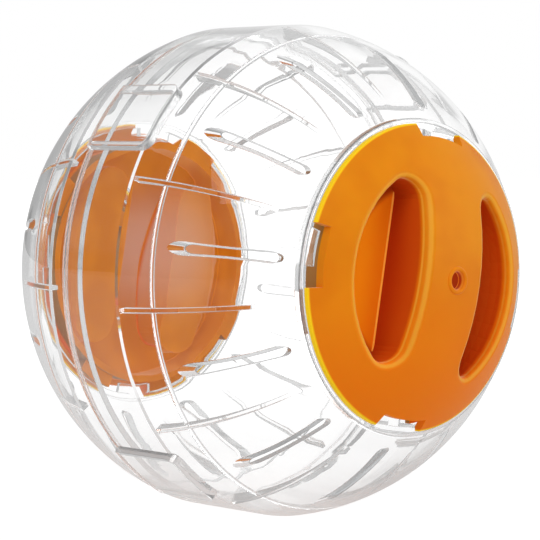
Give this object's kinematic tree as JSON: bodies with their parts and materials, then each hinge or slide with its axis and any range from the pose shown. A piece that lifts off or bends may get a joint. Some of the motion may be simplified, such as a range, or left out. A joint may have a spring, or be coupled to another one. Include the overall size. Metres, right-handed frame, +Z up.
{
  "type": "hamster ball",
  "caption": "Clear exercise ball for a small hamster, made of plastic halves that push together, with vent slots, inner treads and domed orange caps with finger recesses.",
  "frame": {"origin": "centre of the ball, on the axle line and in the plane of the seam", "axes": "+Y along the axle line towards the back cap, the front cap faces -Y, +Z up"},
  "size_m": [0.1176, 0.1236, 0.1176],
  "materials": {
    "clear_plastic": "clear, polished",
    "orange_plastic": "satin moulded"
  },
  "bodies": {
    "front_half": {"front_shell": "clear_plastic"},
    "back_half": {"back_shell": "clear_plastic"},
    "front_cap": {"front_cap": "orange_plastic"},
    "back_cap": {"back_cap": "orange_plastic"}
  },
  "joints": [
    {"name": "halves_part", "type": "slide", "parent": "front_half", "child": "back_half", "axis": [0, 1, 0], "range_m": [0, 0.04]},
    {"name": "front_cap_lift", "type": "slide", "parent": "front_half", "child": "front_cap", "axis": [0, -1, 0], "range_m": [0, 0.08]},
    {"name": "back_cap_turn", "type": "hinge", "parent": "back_half", "child": "back_cap", "pos_m": [0, 0, 0], "axis": [0, -1, 0], "range_deg": [0, 23.5]}
  ]
}
